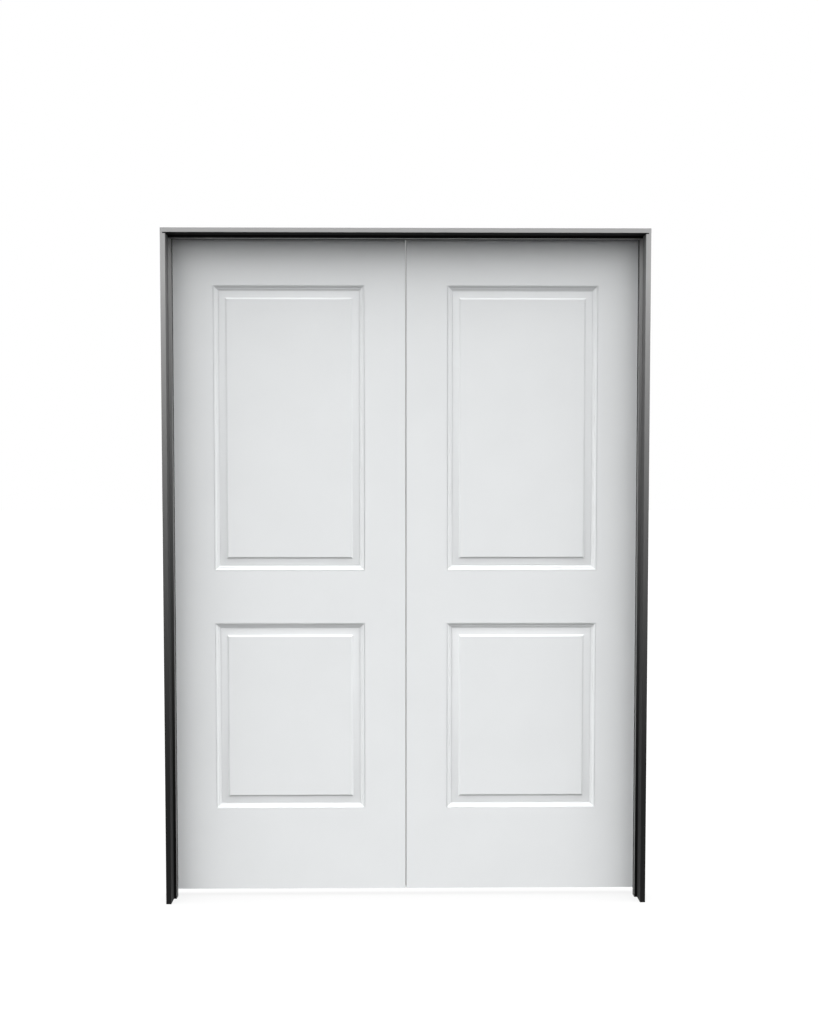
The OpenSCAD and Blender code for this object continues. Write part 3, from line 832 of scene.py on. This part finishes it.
def loose_parts(node):
    """The points of each separate solid in a CAD node."""
    work = bmesh.new()
    work.from_mesh(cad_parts[node].data)
    bmesh.ops.remove_doubles(work, verts=work.verts, dist=WELD)
    left = set(work.verts)
    parts = []
    while left:
        part, front = [], [left.pop()]
        while front:
            vert = front.pop()
            part.append(vert.co.copy())
            near = {edge.other_vert(vert) for edge in vert.link_edges} & left
            left -= near
            front.extend(near)
        parts.append(part)
    work.free()
    return sorted(parts, key=lambda part: tuple(min(part, key=tuple)))


def screw_heads(node):
    """A point on each screw head of a CAD node, with the way it faces, and the screws' sizes."""
    places, facings = [], []
    for part in loose_parts(node):
        ends = [min(p.x for p in part), max(p.x for p in part)]
        spans = []
        for end in ends:
            rim = [p for p in part if abs(p.x - end) < WELD]
            spans.append((max(p.z for p in rim) - min(p.z for p in rim)) / 2)
        # The wider end is the head, at the low or the high end of X
        head = spans.index(max(spans))
        middle = sum(part, Vector()) / len(part)
        places.append(Vector((ends[head], middle.y, middle.z)))
        facings.append((2 * head - 1, 0, 0))
    mesh = bpy.data.meshes.new(f"{node}_heads")
    mesh.from_pydata(places, [], [])
    attribute = mesh.attributes.new("facing", "FLOAT_VECTOR", "POINT")
    for item, facing in zip(attribute.data, facings):
        item.vector = facing
    return mesh, {"Head radius": max(spans), "Shank length": ends[1] - ends[0]}


class DOOR_OT_drive_screws(bpy.types.Operator):
    """Set the hinge and corner screws, with cross recesses in their heads"""
    bl_idname = "door.drive_screws"
    bl_label = "Drive screws"

    def execute(self, context):
        hardware = context.scene.door_hardware
        tree = screw_tree(zinc_steel())
        groups = {"corner_screws": "frame"}
        for side in SIDES:
            groups[f"{side}_jamb_screws"] = "frame"
            groups[f"{side}_leaf_screws"] = f"{side}_leaf"
        for seed, (node, body) in enumerate(groups.items()):
            heads, sizes = screw_heads(node)
            sizes["Shank radius"] = SHANK_SHARE * sizes["Head radius"]
            sizes["Tip length"] = TIP_SHARE * sizes["Shank radius"]
            head_depth = sizes["Head radius"] - sizes["Shank radius"]
            sizes["Shank length"] -= sizes["Tip length"] + head_depth
            for name in ("length", "width", "depth"):
                sizes[f"Recess {name}"] = getattr(hardware, f"recess_{name}")
            piece = run_tree(tree, f"{node}_driven", heads, {**sizes, "Seed": seed})
            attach(piece, body)
            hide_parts(node)
        return {"FINISHED"}


# Stage

FLOOR_SIZE = 60
# How much light the floor throws back, how much of a shadow it shows, and its own light
FLOOR_BOUNCE = 0.02
FLOOR_SHADE = 0.1
FLOOR_GLOW = 0.82
# Light from below the horizon, and how many times stronger the sky is overhead than at the horizon
GROUND_LIGHT = 0.01
OVERHEAD_LIGHT = 3
# Light by bearing, as the sine of the angle from straight ahead: where it starts and where it is full
BANK_START = 0.2
BANK_FULL = 0.34
SIDE_START = 0.8
SIDE_FULL = 0.95
SIDE_LIGHT = 0.5


def seen_directly(tree):
    """1 for what the camera sees, in mirrors and glass too."""
    path = add_node(tree, "ShaderNodeLightPath")
    some = calc(tree, "MAXIMUM", path.outputs["Is Camera Ray"], path.outputs["Is Glossy Ray"])
    return calc(tree, "MAXIMUM", some, path.outputs["Is Transmission Ray"])


def shown_or_lit(tree, lit, shown):
    """One shader for the light that a surface gives, another for what the camera sees of it."""
    return add_node(tree, "ShaderNodeMixShader", {
        0: seen_directly(tree), 1: lit.outputs[0], 2: shown.outputs[0]}).outputs[0]


def dimmed(colour, share):
    return (*(c * share for c in colour[:3]), 1)


def floor_material(colour):
    """Pale studio floor: white to the eye with a faint shadow, and little light thrown back up."""
    material = bpy.data.materials.new("pale studio floor")
    material.use_nodes = True
    tree = material.node_tree
    tree.nodes.clear()
    dim = add_node(tree, "ShaderNodeBsdfDiffuse", {"Color": dimmed(colour, FLOOR_BOUNCE)})
    shade = add_node(tree, "ShaderNodeBsdfDiffuse", {"Color": dimmed(colour, FLOOR_SHADE)})
    glow = add_node(tree, "ShaderNodeEmission", {"Color": colour, "Strength": FLOOR_GLOW})
    pale = add_node(tree, "ShaderNodeAddShader", {0: shade.outputs[0], 1: glow.outputs[0]})
    add_node(tree, "ShaderNodeOutputMaterial", {"Surface": shown_or_lit(tree, dim, pale)})
    return material


def overcast_world(strength):
    """Soft light from both sides, stronger overhead than at the horizon and none straight ahead or
    behind, in front of a white background."""
    world = bpy.data.worlds.new("overcast light")
    world.use_nodes = True
    tree = world.node_tree
    tree.nodes.clear()
    place = add_node(tree, "ShaderNodeTexCoord").outputs["Generated"]
    height = parts_of(tree, place)["Z"]
    rising = add_range(tree, height, strength, OVERHEAD_LIGHT * strength)
    level = vector_calc(tree, "MULTIPLY", place, (1, 1, 0))
    bearing = vector_calc(tree, "NORMALIZE", level)
    aside = parts_of(tree, bearing)["X"]
    away = calc(tree, "ABSOLUTE", aside)
    banks = add_ramp(tree, away, BANK_START, BANK_FULL, interpolation_type="SMOOTHSTEP")
    sides = calc(tree, "MULTIPLY", add_ramp(tree, away, SIDE_START, SIDE_FULL), SIDE_LIGHT)
    share = calc(tree, "ADD", banks, sides)
    light = calc(tree, "MULTIPLY", rising, share)
    above = calc(tree, "GREATER_THAN", height, 0)
    sky = add_node(tree, "ShaderNodeBackground", {
        "Strength": add_range(tree, above, GROUND_LIGHT, light)})
    white = add_node(tree, "ShaderNodeBackground", {"Color": (1, 1, 1, 1)})
    add_node(tree, "ShaderNodeOutputWorld", {"Surface": shown_or_lit(tree, sky, white)})
    return world


class DOOR_OT_set_stage(bpy.types.Operator):
    """Set up the camera, the floor and the light"""
    bl_idname = "door.set_stage"
    bl_label = "Set stage"

    def execute(self, context):
        stage = context.scene.door_stage
        scene = context.scene
        camera = bpy.data.objects.new("camera", bpy.data.cameras.new("camera"))
        scene.collection.objects.link(camera)
        scene.camera = camera
        camera.location = stage.camera_place
        camera.rotation_euler = (math.pi / 2 - stage.camera_tilt, 0, -stage.camera_turn)
        camera.data.lens = stage.camera_lens
        camera.data.shift_y = stage.camera_rise
        scene.view_settings.view_transform = "Standard"
        scene.world = overcast_world(stage.sky_light)
        mesh = bpy.data.meshes.new("floor")
        half = FLOOR_SIZE / 2
        corners = [(-half, -half, 0), (half, -half, 0), (half, half, 0), (-half, half, 0)]
        mesh.from_pydata(corners, [], [(0, 1, 2, 3)])
        mesh.materials.append(floor_material(stage.floor_colour))
        floor = bpy.data.objects.new("floor", mesh)
        scene.collection.objects.link(floor)
        return {"FINISHED"}


OPERATORS = (
    DOOR_OT_set_stage,
    DOOR_OT_mould_skins,
    DOOR_OT_paint_frame,
    DOOR_OT_finish_leaf_frames,
    DOOR_OT_fit_hinges,
    DOOR_OT_drive_screws,
)


class VIEW3D_PT_door(bpy.types.Panel):
    """Steps and settings of the door's finish"""
    bl_label = "Double interior door"
    bl_space_type = "VIEW_3D"
    bl_region_type = "UI"
    bl_category = "Door"

    def draw(self, context):
        for operator in OPERATORS:
            self.layout.operator(operator.bl_idname)
        for group in SETTINGS:
            box = self.layout.box()
            settings = getattr(context.scene, group)
            for name in settings.__annotations__:
                box.prop(settings, name)


CLASSES = (*SETTINGS.values(), *OPERATORS, VIEW3D_PT_door)


def register():
    for cls in CLASSES:
        bpy.utils.register_class(cls)
    for name, group in SETTINGS.items():
        setattr(bpy.types.Scene, name, bpy.props.PointerProperty(type=group))


def unregister():
    for name in SETTINGS:
        delattr(bpy.types.Scene, name)
    for cls in reversed(CLASSES):
        bpy.utils.unregister_class(cls)


def main():
    register()
    bpy.ops.door.set_stage()
    bpy.ops.door.mould_skins()
    bpy.ops.door.paint_frame()
    bpy.ops.door.finish_leaf_frames()
    bpy.ops.door.fit_hinges()
    bpy.ops.door.drive_screws()


if __name__ == "__main__":
    main()
